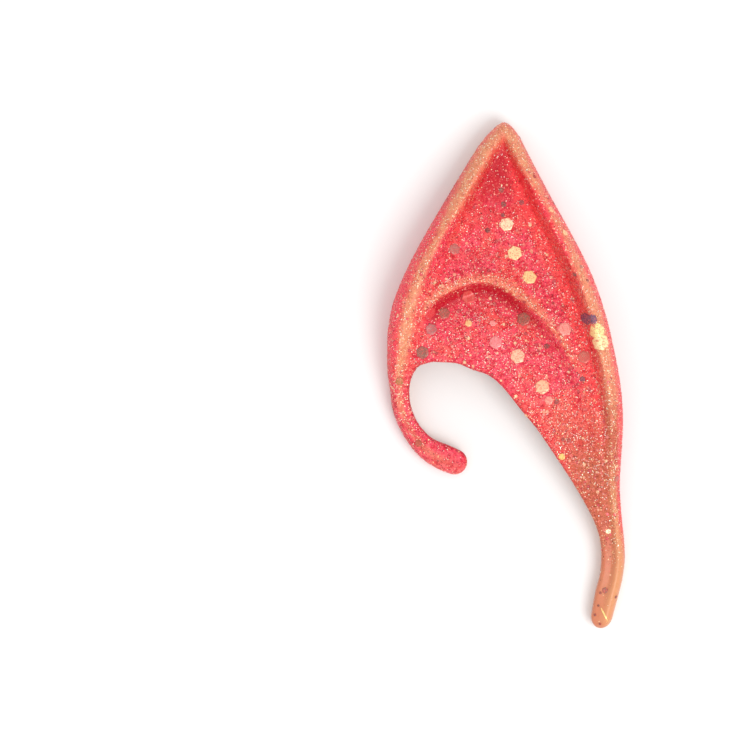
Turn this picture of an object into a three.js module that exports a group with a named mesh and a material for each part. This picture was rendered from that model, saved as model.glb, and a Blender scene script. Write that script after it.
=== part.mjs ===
// An elf ear tip, cast hollow in soft latex. It is one piece: a pointed leaf with a rolled rim and a curved
// fold, a hook that runs down from its front rim, and a tail that runs down from its back rim. The front skin
// and the back skin leave a pocket between them. The pocket opens along the arch between hook and tail, and
// the top of the wearer's ear goes into it. The ear tip lies on its back, +Z up, with its point towards +Y.
import * as THREE from 'three';

// Outline, in millimetres.
const earLength = 120; // from the point to the end of the tail
const earWidth = 56.6; // from the front rim across to the outside of the tail
const leafLength = 56.8; // from the point down to the crown of the arch
const hookDrop = 26.6; // from the crown of the arch down to the underside of the hook
const hookWidth = 4.4; // across the hook's shaft
const tailWidth = 5.6; // across the tail's shaft

// Heights above the surface that it lies on, in millimetres.
const earDepth = 17; // the highest stretch of the rim
const lipHeight = 10.4; // the front skin's free edge over the arch
const hookThickness = 5.6;
const tailThickness = 5.8;

// Relief of the front and thickness of the skin, in millimetres.
const wall = 1.5; // the cast skin
const rimWidth = 6.6; // the rolled rim, from the outline to its inner foot
const rimRise = 6; // the deepest step from the rim's crest down to the hollow beside it
const foldRise = 2.3; // the curved fold's crest over the hollow
const foldDip = 1.8; // the hollow under the fold's steep side
const foldFall = 3; // width of the fold's steep side, towards the arch
const foldRun = 8; // width of the fold's gentle side, towards the point
const dipRun = 8; // from the bottom of the hollow to where it has died out towards the arch
const backRound = 4; // rounding from the outline in to the flat back
const lipSetback = 2.6; // how far the back skin stops short of the front skin's edge

// Shares that hold for every section.
const crestShare = 0.55; // of the roll, from the outline in to its crest
const sideShare = 0.46; // of the crest's height, where the outline is widest
const mostRollShare = 0.6; // of a section's length that its roll may take
const mostRoundShare = 0.4; // of a section's length that the back's rounding may take
const hookEndShare = 0.5; // of the hook's width, the length of its round end
const tailEndShare = 0.6;
const leastFoldShare = 0.35; // of the way from the arch to the roll's foot, the fold's crest in the mesh
const mostFoldShare = 0.85;
const leastFallShare = 0.3; // of the way from the lip to the fold's crest, where its steep side may end
const leastEndShare = 0.2; // of the wall, the half round of the pocket's outer end
const endMiddleShare = 0.3; // of the pocket's height, least from its outer end's middle to floor and ceiling
const mostRunShare = 0.5; // of the way from the fold's crest to the roll's foot, the hollow under the fold
const skinShares = [0.5, 0.85]; // of the wall, how far round each place of the ceiling its skin is measured
const tailDrop = earLength - leafLength; // from the crown of the arch down to the tail's end

// Number of steps in the mesh: between rows of a table, in a shaft's round end, and along each part of a
// section's outline.
const rowSteps = 2;
const foldSteps = 4;
const capSteps = 4;
const frontSteps = { bed: 4, fall: 3, run: 5, roll: 4, side: 5 };
const backSteps = { round: 4, flat: 4, lip: 4 };
const pocketSteps = { floor: 4, end: 6, roll: 3, run: 3, fall: 4, bed: 3 };
const halvings = 30; // to find a place along a section
const skinTurns = 8; // ways round a place of the ceiling

// Sections of the hook, from its end up to its root. x is a share of earWidth from the front rim and drop a
// share of hookDrop below the arch's crown. lean is the way from its inner to its outer side, in degrees.
// width and thick are shares of hookWidth and hookThickness, and pocket says how far the pocket is open.
const hookColumns = ['x', 'drop', 'lean', 'width', 'thick', 'pocket'];
const hookRows = [
  [0.286, 0.889, 246, 1.37, 0.98, 0.15],
  [0.239, 0.846, 246, 1.4, 1.0, 0.15],
  [0.181, 0.782, 240, 1.25, 1.0, 0.15],
  [0.137, 0.696, 224, 1.1, 0.98, 0.15],
  [0.094, 0.564, 206, 1.0, 1.0, 0.18],
  [0.065, 0.404, 191, 1.0, 1.1, 0.25],
  [0.057, 0.258, 181, 1.02, 1.27, 0.4],
];

// Sections of the leaf, each from the arch to the edge: at first those beside the hook's root, up to the
// arch's crown, and then the rest, over the point and down to the tail's root. x is a share of earWidth, and
// y a share of leafLength above the arch's crown or, below it, of hookDrop or tailDrop. roll, top, rise and
// lip are shares of rimWidth, earDepth, rimRise and lipHeight.
const leafColumns = ['archX', 'archY', 'edgeX', 'edgeY', 'roll', 'top', 'rise', 'lip', 'pocket'];
const rootRows = [
  [0.107, -0.133, 0.006, -0.081, 0.6, 0.53, 0.17, 0.74, 0.65],
  [0.132, -0.045, 0.005, 0.046, 0.78, 0.63, 0.3, 0.83, 0.9],
  [0.156, -0.02, 0.008, 0.138, 0.95, 0.73, 0.43, 0.92, 1],
];
const leafRows = [
  [0.193, 0.0, 0.032, 0.255, 1.05, 0.8, 0.53, 0.98, 1],
  [0.231, -0.001, 0.089, 0.392, 1.05, 0.84, 0.57, 1, 1],
  [0.265, -0.002, 0.178, 0.557, 1.0, 0.81, 0.55, 1, 1],
  [0.294, -0.005, 0.286, 0.739, 0.93, 0.7, 0.5, 1, 1],
  [0.318, -0.012, 0.382, 0.894, 0.8, 0.56, 0.4, 1, 1],
  [0.337, -0.02, 0.436, 0.96, 0.72, 0.49, 0.32, 1, 1],
  [0.352, -0.025, 0.494, 1.0, 0.68, 0.46, 0.28, 1, 1],
  [0.367, -0.03, 0.547, 0.956, 0.7, 0.49, 0.32, 1, 1],
  [0.385, -0.036, 0.598, 0.86, 0.75, 0.58, 0.48, 1, 1],
  [0.415, -0.045, 0.683, 0.697, 0.85, 0.73, 0.72, 1, 1],
  [0.453, -0.066, 0.777, 0.526, 0.92, 0.85, 0.9, 1, 1],
  [0.503, -0.112, 0.855, 0.37, 0.95, 0.95, 1, 0.99, 1],
  [0.561, -0.178, 0.912, 0.209, 0.95, 1, 1, 0.98, 1],
  [0.624, -0.245, 0.95, 0.054, 0.95, 1, 0.9, 0.95, 1],
  [0.687, -0.327, 0.978, -0.09, 0.9, 0.94, 0.68, 0.93, 1],
  [0.75, -0.411, 0.989, -0.221, 0.85, 0.83, 0.45, 0.88, 1],
  [0.808, -0.495, 0.983, -0.34, 0.75, 0.7, 0.3, 0.8, 0.95],
  [0.856, -0.572, 0.977, -0.46, 0.65, 0.58, 0.2, 0.72, 0.75],
];

// Sections of the tail, from its root down to its end, as for the hook. drop is a share of tailDrop and rise
// of rimRise.
const tailColumns = ['x', 'drop', 'lean', 'width', 'thick', 'rise', 'pocket'];
const tailRows = [
  [0.936, 0.607, 36, 1.23, 1.36, 0.16, 0.5],
  [0.947, 0.677, 16, 1.03, 1.14, 0.15, 0.32],
  [0.95, 0.74, 0, 1.01, 1.05, 0.15, 0.22],
  [0.942, 0.807, -10, 0.98, 1.0, 0.14, 0.18],
  [0.924, 0.871, -14, 0.99, 0.97, 0.1, 0.15],
  [0.904, 0.951, -15, 0.91, 0.93, 0.03, 0.15],
];
const hookRollShare = 0.5; // of rimWidth, the roll along the hook
const hookRiseShare = 0.08; // of rimRise
const tailRollShare = 0.5;
const shaftLipShare = 0.9; // of the crest's height, the inner side of hook and tail

// Places on the fold's crest, from the foot of the front rim over to the tail's root. x and y are shares as
// for the leaf, and rise is a share of foldRise and foldDip.
const foldColumns = ['x', 'y', 'rise'];
const foldRows = [
  [0.103, 0.04, 0],
  [0.132, 0.152, 0.35],
  [0.182, 0.244, 0.8],
  [0.274, 0.306, 1],
  [0.383, 0.34, 1],
  [0.475, 0.323, 1],
  [0.559, 0.269, 1],
  [0.642, 0.198, 1],
  [0.718, 0.106, 0.75],
  [0.78, -0.002, 0.45],
  [0.835, -0.129, 0.25],
  [0.881, -0.279, 0.12],
  [0.914, -0.444, 0.04],
  [0.931, -0.575, 0],
];

const smooth = (t) => t * t * (3 - 2 * t);
const clamp = (v, low, high) => Math.min(high, Math.max(low, v));
const mix = (a, b, t) => a + (b - a) * t;

// Turns a table's rows into objects with its columns' names.
function named(columns, rows) {
  return rows.map((row) => Object.fromEntries(columns.map((name, i) => [name, row[i]])));
}

// A height given as a share of the leaf above the arch's crown, or of a drop below it.
function heightOf(share, drop) {
  return share * (share > 0 ? leafLength : drop);
}

function foldPoint({ x, y, rise }) {
  return { x: x * earWidth, y: heightOf(y, tailDrop), rise };
}

// The two ends of a section across a shaft, from its middle, its direction and its width.
function acrossShaft(x, y, lean, width) {
  const turn = THREE.MathUtils.degToRad(lean);
  const halfX = (Math.cos(turn) * width) / 2;
  const halfY = (Math.sin(turn) * width) / 2;
  return { innerX: x - halfX, innerY: y - halfY, outerX: x + halfX, outerY: y + halfY };
}

function hookSection(row) {
  const top = row.thick * hookThickness;
  return {
    ...acrossShaft(row.x * earWidth, -row.drop * hookDrop, row.lean, row.width * hookWidth),
    roll: hookRollShare * rimWidth,
    top,
    rise: hookRiseShare * rimRise,
    lip: shaftLipShare * top,
    pocket: row.pocket,
  };
}

function leafSection(row, drop) {
  return {
    innerX: row.archX * earWidth,
    innerY: heightOf(row.archY, drop),
    outerX: row.edgeX * earWidth,
    outerY: heightOf(row.edgeY, drop),
    roll: row.roll * rimWidth,
    top: row.top * earDepth,
    rise: row.rise * rimRise,
    lip: row.lip * lipHeight,
    pocket: row.pocket,
  };
}

function tailSection(row) {
  const top = row.thick * tailThickness;
  return {
    ...acrossShaft(row.x * earWidth, -row.drop * tailDrop, row.lean, row.width * tailWidth),
    roll: tailRollShare * rimWidth,
    top,
    rise: row.rise * rimRise,
    lip: shaftLipShare * top,
    pocket: row.pocket,
  };
}

// Every value between two rows, by a Catmull-Rom spline through the rows.
function between(rows, at) {
  const i = Math.min(Math.floor(at), rows.length - 2);
  const t = at - i;
  const near = [i - 1, i, i + 1, i + 2].map((j) => rows[clamp(j, 0, rows.length - 1)]);
  const values = {};
  for (const name of Object.keys(rows[0])) {
    const [a, b, c, d] = near.map((row) => row[name]);
    const curve = -a + 3 * b - 3 * c + d;
    values[name] = b + (t * (c - a + t * (2 * a - 5 * b + 4 * c - d + t * curve))) / 2;
  }
  return values;
}

// Rows and the places between them, with a number of steps from each row to the next.
function refined(rows, stepCount) {
  const count = (rows.length - 1) * stepCount;
  return Array.from({ length: count + 1 }, (_, i) => between(rows, i / stepCount));
}

// Adds a section's length and direction, and keeps its roll and its pocket within their bounds.
function measured(section) {
  const dx = section.outerX - section.innerX;
  const dy = section.outerY - section.innerY;
  const length = Math.hypot(dx, dy);
  return {
    ...section,
    length,
    alongX: dx / length,
    alongY: dy / length,
    roll: Math.min(section.roll, mostRollShare * length),
    pocket: clamp(section.pocket, 0, 1),
  };
}

const sections = refined(
  [
    ...named(hookColumns, hookRows).map(hookSection),
    ...named(leafColumns, rootRows).map((row) => leafSection(row, hookDrop)),
    ...named(leafColumns, leafRows).map((row) => leafSection(row, tailDrop)),
    ...named(tailColumns, tailRows).map(tailSection),
  ],
  rowSteps,
).map(measured);

// The outline, and the crest of the fold. Both run from the front of the ear tip over to its back.
const edge = sections.map(({ outerX, outerY, roll, top }) => ({ x: outerX, y: outerY, roll, top }));
const foldLine = refined(
  named(foldColumns, foldRows).map(foldPoint),
  foldSteps,
);

// The place on a line that is nearest to a point: how far along the line it is, how far away it is, and on
// which side of the line the point lies, 1 for its left and -1 for its right.
function nearestOn(line, x, y) {
  let nearest = { at: 0, away: Infinity, side: 1 };
  for (let i = 1; i < line.length; i++) {
    const fromX = x - line[i - 1].x;
    const fromY = y - line[i - 1].y;
    const dx = line[i].x - line[i - 1].x;
    const dy = line[i].y - line[i - 1].y;
    const t = clamp((fromX * dx + fromY * dy) / (dx * dx + dy * dy), 0, 1);
    const away = Math.hypot(fromX - t * dx, fromY - t * dy);
    const side = dx * fromY - dy * fromX < 0 ? -1 : 1;
    if (away < nearest.away) nearest = { at: i - 1 + t, away, side };
  }
  return nearest;
}

// A value of a line at a place along it.
function valueOn(line, at, name) {
  const i = Math.min(Math.floor(at), line.length - 2);
  return mix(line[i][name], line[i + 1][name], at - i);
}

// A point in plan, from its place along a section and its way to the section's side.
function planOf(s, a, aside) {
  return { x: s.innerX + s.alongX * a - s.alongY * aside, y: s.innerY + s.alongY * a + s.alongX * aside };
}

// The place along a section where a condition, which holds at the outline, ends.
function placeWhere(s, holds) {
  let outer = s.length;
  let inner = 0;
  for (let step = 0; step < halvings; step++) {
    const middle = (outer + inner) / 2;
    const { x, y } = planOf(s, middle, 0);
    if (holds(x, y)) outer = middle;
    else inner = middle;
  }
  return outer;
}

// The place along a section that lies a given way inside the outline.
function insideBy(s, way) {
  return placeWhere(s, (x, y) => nearestOn(edge, x, y).away < way);
}

// The places of a section's parts along it, from 0 at the arch to its length at the outline.
function placesOf(s) {
  const foot = insideBy(s, s.roll);
  const crest = insideBy(s, s.roll * crestShare);
  const pastFold = placeWhere(s, (x, y) => nearestOn(foldLine, x, y).side > 0);
  const fold = clamp(pastFold, leastFoldShare * foot, mostFoldShare * foot);
  return { foot, crest, fold };
}

// Height that the fold adds: its gentle side towards the point, its steep side towards the arch, and the
// hollow under that, which dies out towards the arch.
function foldHeight(x, y) {
  const { at, away, side } = nearestOn(foldLine, x, y);
  const share = valueOn(foldLine, at, 'rise');
  if (side > 0) return share * foldRise * (1 - smooth(Math.min(1, away / foldRun)));
  if (away < foldFall) return share * mix(foldRise, -foldDip, smooth(away / foldFall));
  return -share * foldDip * (1 - smooth(Math.min(1, (away - foldFall) / dipRun)));
}

// Height of the front. The roll is a quarter of an ellipse from the outline up to its crest. From there it
// falls to the bed, which slopes from the front skin's free edge to the roll's foot.
function frontAt(s, p, a, aside = 0) {
  const { x, y } = planOf(s, a, aside);
  const { at, away } = nearestOn(edge, x, y);
  const top = valueOn(edge, at, 'top');
  const roll = valueOn(edge, at, 'roll');
  const crest = roll * crestShare;
  if (away < crest) {
    const short = 1 - away / crest;
    return mix(top * sideShare, top, Math.sqrt(1 - short * short));
  }
  const bed = mix(s.lip, s.top - s.rise, Math.min(1, a / p.foot)) + foldHeight(x, y);
  return mix(top, bed, smooth(Math.min(1, (away - crest) / (roll - crest))));
}

// Evenly spaced values from one end towards the other, without the last.
function steps(from, to, count) {
  return Array.from({ length: count }, (_, i) => mix(from, to, i / count));
}

// Height of the pocket's ceiling: the front skin's underside, a wall's thickness from its outside all round.
function ceilingAt(s, p, a) {
  let least = frontAt(s, p, a) - wall;
  for (const turn of steps(0, 2 * Math.PI, skinTurns)) {
    for (const share of skinShares) {
      const beside = clamp(a + share * wall * Math.cos(turn), 0, s.length);
      const outside = frontAt(s, p, beside, share * wall * Math.sin(turn));
      least = Math.min(least, outside - wall * Math.sqrt(1 - share * share));
    }
  }
  return least;
}

// A half round edge, from its lower to its upper height, as [place, height] pairs.
function halfRound(place, reach, low, high) {
  return steps(-Math.PI / 2, Math.PI / 2, backSteps.lip).map((turn) => {
    return [place + reach * Math.cos(turn), mix(low, high, (1 + Math.sin(turn)) / 2)];
  });
}

// The closed outline of one section, as [place along it, height] pairs: along the front, round the rim, along
// the back, round its free edge, and back through the pocket to the front skin's free edge.
function contourOf(s) {
  const p = placesOf(s);
  const quarter = Math.PI / 2;
  const side = s.top * sideShare;
  const open = (z) => mix(s.lip / 2, z, s.pocket);
  const nose = Math.min((s.lip - open(ceilingAt(s, p, 0))) / 2, p.fold / 2);
  const foldFoot = Math.max(mix(nose, p.fold, leastFallShare), p.fold - foldFall);
  const frontPlaces = [
    ...steps(nose, foldFoot, frontSteps.bed),
    ...steps(foldFoot, p.fold, frontSteps.fall),
    ...steps(p.fold, p.foot, frontSteps.run),
    ...steps(p.foot, p.crest, frontSteps.roll),
    ...steps(quarter, 0, frontSteps.side).map((turn) => mix(p.crest, s.length, Math.cos(turn))),
  ];
  const front = frontPlaces.map((a) => [a, frontAt(s, p, a)]);
  const backStart = insideBy(s, Math.min(backRound, mostRoundShare * s.length));
  const underRim = steps(0, quarter, backSteps.round).map((turn) => {
    return [mix(backStart, s.length, Math.cos(turn)), side * (1 - Math.sin(turn))];
  });
  const backNose = Math.min(wall / 2, nose);
  const backEdge = lipSetback * s.pocket * s.pocket + backNose;
  const back = steps(backStart, backEdge, backSteps.flat).map((a) => [a, 0]);
  const floor = open(wall);
  const backLip = halfRound(backEdge, -backNose, 0, floor);
  const endWidth = Math.max(s.roll * crestShare - wall, leastEndShare * wall);
  const outerEnd = insideBy(s, wall);
  const endStart = insideBy(s, wall + endWidth);
  const endTop = ceilingAt(s, p, endStart);
  const endMiddle = clamp(side, mix(wall, endTop, endMiddleShare), mix(endTop, wall, endMiddleShare));
  const draw = (from, a) => mix(from, a, s.pocket);
  const pocketFloor = steps(backEdge, endStart, pocketSteps.floor).map((a) => [draw(backEdge, a), floor]);
  const pocketEnd = steps(-quarter, quarter, pocketSteps.end).map((turn) => {
    const z = mix(endMiddle, turn < 0 ? wall : endTop, Math.abs(Math.sin(turn)));
    return [draw(nose, mix(endStart, outerEnd, Math.cos(turn))), open(z)];
  });
  const underFold = Math.min(p.fold + wall, mix(p.fold, p.foot, mostRunShare));
  const pocketCeiling = [
    ...steps(endStart, p.foot, pocketSteps.roll),
    ...steps(p.foot, underFold, pocketSteps.run),
    ...steps(underFold, foldFoot, pocketSteps.fall),
    ...steps(foldFoot, nose, pocketSteps.bed),
  ].map((a) => [draw(nose, a), open(ceilingAt(s, p, a))]);
  const frontLip = halfRound(nose, -nose, open(ceilingAt(s, p, nose)), frontAt(s, p, nose));
  const outside = [...front, ...underRim, ...back];
  return [...outside, ...backLip, ...pocketFloor, ...pocketEnd, ...pocketCeiling, ...frontLip];
}

// A section's outline in space. A round end draws it in about its middle and moves it out along the shaft.
function ringOf(s, contour, size, outwards) {
  return contour.map(([a, z]) => {
    const { x, y } = planOf(s, mix(s.length / 2, a, size), outwards);
    return new THREE.Vector3(x, y, mix(s.top / 2, z, size));
  });
}

// The rings of a shaft's round end, from the pole to the shaft. outwards is the round end's length.
function roundEnd(s, outwards) {
  const contour = contourOf(s);
  return steps(0, Math.PI / 2, capSteps).map((turn) => {
    return ringOf(s, contour, Math.sin(turn), outwards * Math.cos(turn));
  });
}

// Joins the rings into one closed surface. The first and the last ring are single points.
function closedSkin(rings) {
  const count = rings[0].length;
  const points = [rings[0][0], ...rings.slice(1, -1).flat(), rings[rings.length - 1][0]];
  const last = points.length - 1;
  const faces = [];
  for (let j = 0; j < count; j++) {
    const next = (j + 1) % count;
    faces.push(0, 1 + j, 1 + next);
    faces.push(last, last - count + next, last - count + j);
    for (let ring = 0; ring < rings.length - 3; ring++) {
      const here = 1 + ring * count;
      faces.push(here + j, here + count + j, here + count + next);
      faces.push(here + j, here + count + next, here + next);
    }
  }
  const geometry = new THREE.BufferGeometry().setFromPoints(points);
  geometry.setIndex(faces);
  geometry.computeVertexNormals();
  return geometry;
}

function earSkin() {
  const hookEnd = sections[0];
  const tailEnd = sections[sections.length - 1];
  return closedSkin([
    ...roundEnd(hookEnd, hookEndShare * hookEnd.length),
    ...sections.map((section) => ringOf(section, contourOf(section), 1, 0)),
    ...roundEnd(tailEnd, -tailEndShare * tailEnd.length).reverse(),
  ]);
}

const latex = new THREE.MeshStandardMaterial({ color: 0xe8566a, roughness: 0.45, metalness: 0 });
const earTip = new THREE.Mesh(earSkin(), latex);
earTip.name = 'ear_tip';

// The origin is the middle of the surface that the ear tip lies on.
earTip.geometry.computeBoundingBox();
const { min, max } = earTip.geometry.boundingBox;
earTip.position.set(-(min.x + max.x) / 2, -(min.y + max.y) / 2, -min.z);

const group = new THREE.Group();
group.add(earTip);

export default group;
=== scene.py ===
import bpy
import numpy as np
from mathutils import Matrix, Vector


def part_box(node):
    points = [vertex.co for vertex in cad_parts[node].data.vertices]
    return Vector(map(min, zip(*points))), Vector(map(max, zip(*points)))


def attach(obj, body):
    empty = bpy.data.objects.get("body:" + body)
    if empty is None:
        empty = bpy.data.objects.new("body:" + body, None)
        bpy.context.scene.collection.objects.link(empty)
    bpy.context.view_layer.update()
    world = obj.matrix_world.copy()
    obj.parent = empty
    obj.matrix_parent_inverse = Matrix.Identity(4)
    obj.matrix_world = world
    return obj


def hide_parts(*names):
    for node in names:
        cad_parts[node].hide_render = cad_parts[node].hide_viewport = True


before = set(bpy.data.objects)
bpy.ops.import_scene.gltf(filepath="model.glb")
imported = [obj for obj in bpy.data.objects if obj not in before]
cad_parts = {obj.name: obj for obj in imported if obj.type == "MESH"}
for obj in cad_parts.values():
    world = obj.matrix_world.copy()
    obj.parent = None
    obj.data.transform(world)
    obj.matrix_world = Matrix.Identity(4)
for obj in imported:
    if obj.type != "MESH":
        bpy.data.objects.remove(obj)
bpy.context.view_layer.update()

# The ear tip's body, one hollow latex casting. Its front skin carries the rolled rim and the curved fold, its
# back skin is plain, and the pocket between them opens along the arch between hook and tail. The front is
# sprayed pink over peach latex, and the spray is rubbed off the raised parts.
mm = 0.001
ear_length = 120 * mm  # from the point to the end of the tail
ear_width = 56.6 * mm  # from the front rim across to the outside of the tail
leaf_length = 56.8 * mm  # from the point down to the crown of the arch
hook_drop = 26.6 * mm  # from the crown of the arch down to the underside of the hook
hook_width = 4.4 * mm
tail_width = 5.6 * mm
ear_depth = 17 * mm  # the highest stretch of the rim
lip_height = 10.4 * mm  # the front skin's free edge over the arch
hook_thickness = 5.6 * mm
tail_thickness = 5.8 * mm
wall = 1.5 * mm
rim_width = 6.6 * mm  # the rolled rim, from the outline to its inner foot
rim_rise = 6 * mm  # the deepest step from the rim's crest down to the hollow beside it
fold_rise = 2.3 * mm
fold_dip = 1.8 * mm  # the hollow under the fold's steep side
fold_fall = 3 * mm  # width of the fold's steep side, towards the arch
fold_run = 8 * mm  # width of the fold's gentle side, towards the point
dip_run = 8 * mm
back_round = 4 * mm
lip_setback = 2.6 * mm  # how far the back skin stops short of the front skin's edge
tail_drop = ear_length - leaf_length

crest_share = 0.55  # of the roll, from the outline in to its crest
side_share = 0.46  # of the crest's height, where the outline is widest
most_roll = 0.6  # of a section's length that its roll may take
most_round = 0.4  # of a section's length that the back's rounding may take
hook_end_share = 0.5  # of the hook's width, the length of its round end
tail_end_share = 0.6
hook_roll = 0.5  # of rim_width
hook_rise = 0.08  # of rim_rise
tail_roll = 0.5
shaft_lip = 0.9  # of the crest's height, the inner side of hook and tail
end_rings = 10
section_steps = 15  # from one row of the tables to the next
fold_least, fold_most = 0.35, 0.85  # of the way from the lip to the roll's foot, where the fold may lie

# Sections of the hook, from its end up to its root: x as a share of ear_width, drop as a share of hook_drop,
# lean in degrees, width, thickness, and how far the pocket is open.
hook_rows = np.array([
    [0.286, 0.889, 246, 1.37, 0.98, 0.15],
    [0.239, 0.846, 246, 1.4, 1.0, 0.15],
    [0.181, 0.782, 240, 1.25, 1.0, 0.15],
    [0.137, 0.696, 224, 1.1, 0.98, 0.15],
    [0.094, 0.564, 206, 1.0, 1.0, 0.18],
    [0.065, 0.404, 191, 1.0, 1.1, 0.25],
    [0.057, 0.258, 181, 1.02, 1.27, 0.4],
])
# Sections of the leaf, from the arch to the edge: arch x and y, edge x and y, roll, top, rise, lip, pocket.
root_rows = np.array([
    [0.107, -0.133, 0.006, -0.081, 0.6, 0.53, 0.17, 0.74, 0.65],
    [0.132, -0.045, 0.005, 0.046, 0.78, 0.63, 0.3, 0.83, 0.9],
    [0.156, -0.02, 0.008, 0.138, 0.95, 0.73, 0.43, 0.92, 1],
])
leaf_rows = np.array([
    [0.193, 0.0, 0.032, 0.255, 1.05, 0.8, 0.53, 0.98, 1],
    [0.231, -0.001, 0.089, 0.392, 1.05, 0.84, 0.57, 1, 1],
    [0.265, -0.002, 0.178, 0.557, 1.0, 0.81, 0.55, 1, 1],
    [0.294, -0.005, 0.286, 0.739, 0.93, 0.7, 0.5, 1, 1],
    [0.318, -0.012, 0.382, 0.894, 0.8, 0.56, 0.4, 1, 1],
    [0.337, -0.02, 0.436, 0.96, 0.72, 0.49, 0.32, 1, 1],
    [0.352, -0.025, 0.494, 1.0, 0.68, 0.46, 0.28, 1, 1],
    [0.367, -0.03, 0.547, 0.956, 0.7, 0.49, 0.32, 1, 1],
    [0.385, -0.036, 0.598, 0.86, 0.75, 0.58, 0.48, 1, 1],
    [0.415, -0.045, 0.683, 0.697, 0.85, 0.73, 0.72, 1, 1],
    [0.453, -0.066, 0.777, 0.526, 0.92, 0.85, 0.9, 1, 1],
    [0.503, -0.112, 0.855, 0.37, 0.95, 0.95, 1, 0.99, 1],
    [0.561, -0.178, 0.912, 0.209, 0.95, 1, 1, 0.98, 1],
    [0.624, -0.245, 0.95, 0.054, 0.95, 1, 0.9, 0.95, 1],
    [0.687, -0.327, 0.978, -0.09, 0.9, 0.94, 0.68, 0.93, 1],
    [0.75, -0.411, 0.989, -0.221, 0.85, 0.83, 0.45, 0.88, 1],
    [0.808, -0.495, 0.983, -0.34, 0.75, 0.7, 0.3, 0.8, 0.95],
    [0.856, -0.572, 0.977, -0.46, 0.65, 0.58, 0.2, 0.72, 0.75],
])
# Sections of the tail, from its root down to its end, as for the hook, with rise before pocket.
tail_rows = np.array([
    [0.936, 0.607, 36, 1.23, 1.36, 0.16, 0.5],
    [0.947, 0.677, 16, 1.03, 1.14, 0.15, 0.32],
    [0.95, 0.74, 0, 1.01, 1.05, 0.15, 0.22],
    [0.942, 0.807, -10, 0.98, 1.0, 0.14, 0.18],
    [0.924, 0.871, -14, 0.99, 0.97, 0.1, 0.15],
    [0.904, 0.951, -15, 0.91, 0.93, 0.03, 0.15],
])
# Places on the fold's crest, from the foot of the front rim to the tail's root: x, y and rise.
fold_rows = np.array([
    [0.103, 0.04, 0],
    [0.132, 0.152, 0.35],
    [0.182, 0.244, 0.8],
    [0.274, 0.306, 1],
    [0.383, 0.34, 1],
    [0.475, 0.323, 1],
    [0.559, 0.269, 1],
    [0.642, 0.198, 1],
    [0.718, 0.106, 0.75],
    [0.78, -0.002, 0.45],
    [0.835, -0.129, 0.25],
    [0.881, -0.279, 0.12],
    [0.914, -0.444, 0.04],
    [0.931, -0.575, 0],
])


def smooth(t):
    """An S-curve from 0 to 1, three times t squared less two times t cubed."""
    t = np.clip(t, 0, 1)
    return t * t * (3 - 2 * t)


def mix(a, b, t):
    """A straight blend from a at 0 to b at 1."""
    return a + (b - a) * t


def spline(rows, steps):
    """A Catmull-Rom curve through the rows, column by column, with a number of steps from row to row."""
    at = np.arange((len(rows) - 1) * steps + 1) / steps
    i = np.minimum(at.astype(int), len(rows) - 2)
    t = (at - i)[:, None]
    a, b, c, d = (rows[np.clip(i + k, 0, len(rows) - 1)] for k in (-1, 0, 1, 2))
    return b + t * (c - a + t * (2 * a - 5 * b + 4 * c - d + t * (3 * b - a - 3 * c + d))) / 2


def height_of(share, drop):
    """A share of the leaf's length above the arch's crown, or of a drop below it."""
    return share * np.where(share > 0, leaf_length, drop)


def shaft_sections(rows, drop, width, thickness, roll, rise):
    """Sections across a shaft: half the width each way from the middle along the lean. The columns that come
    out are inner x and y, outer x and y, roll, top, rise, lip and pocket."""
    x, y, turn = rows[:, 0] * ear_width, -rows[:, 1] * drop, np.radians(rows[:, 2])
    half_x = np.cos(turn) * rows[:, 3] * width / 2
    half_y = np.sin(turn) * rows[:, 3] * width / 2
    top = rows[:, 4] * thickness
    same = np.ones(len(rows))
    return np.stack([x - half_x, y - half_y, x + half_x, y + half_y, same * roll * rim_width, top,
                     rise * rim_rise * same, shaft_lip * top, rows[:, -1]], axis=1)


def leaf_sections(rows, drop):
    """Sections of the leaf, each column times the size that it is a share of."""
    return np.stack([rows[:, 0] * ear_width, height_of(rows[:, 1], drop), rows[:, 2] * ear_width,
                     height_of(rows[:, 3], drop), rows[:, 4] * rim_width, rows[:, 5] * ear_depth,
                     rows[:, 6] * rim_rise, rows[:, 7] * lip_height, rows[:, 8]], axis=1)


def nearest_on(line, points):
    """For each point the nearest place on a line: how far along it, how far away, and the side, where 1 is to
    the line's left. The place is the least distance over all the line's straight steps."""
    start, step = line[:-1], np.diff(line, axis=0)
    at, away, side = (np.empty(len(points)) for _ in range(3))
    for part in np.array_split(np.arange(len(points)), len(points) // 4000 + 1):
        off_x = points[part, 0, None] - start[:, 0]
        off_y = points[part, 1, None] - start[:, 1]
        t = np.clip((off_x * step[:, 0] + off_y * step[:, 1]) / (step ** 2).sum(axis=1), 0, 1)
        gap = np.hypot(off_x - t * step[:, 0], off_y - t * step[:, 1])
        best = gap.argmin(axis=1)
        row = np.arange(len(part))
        at[part] = best + t[row, best]
        away[part] = gap[row, best]
        cross = step[best, 0] * off_y[row, best] - step[best, 1] * off_x[row, best]
        side[part] = np.where(cross < 0, -1, 1)
    return at, away, side


def value_on(values, at):
    """Values of a line's points, blended at places along it."""
    i = np.minimum(at.astype(int), len(values) - 2)
    return mix(values[i], values[i + 1], at - i)


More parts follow.
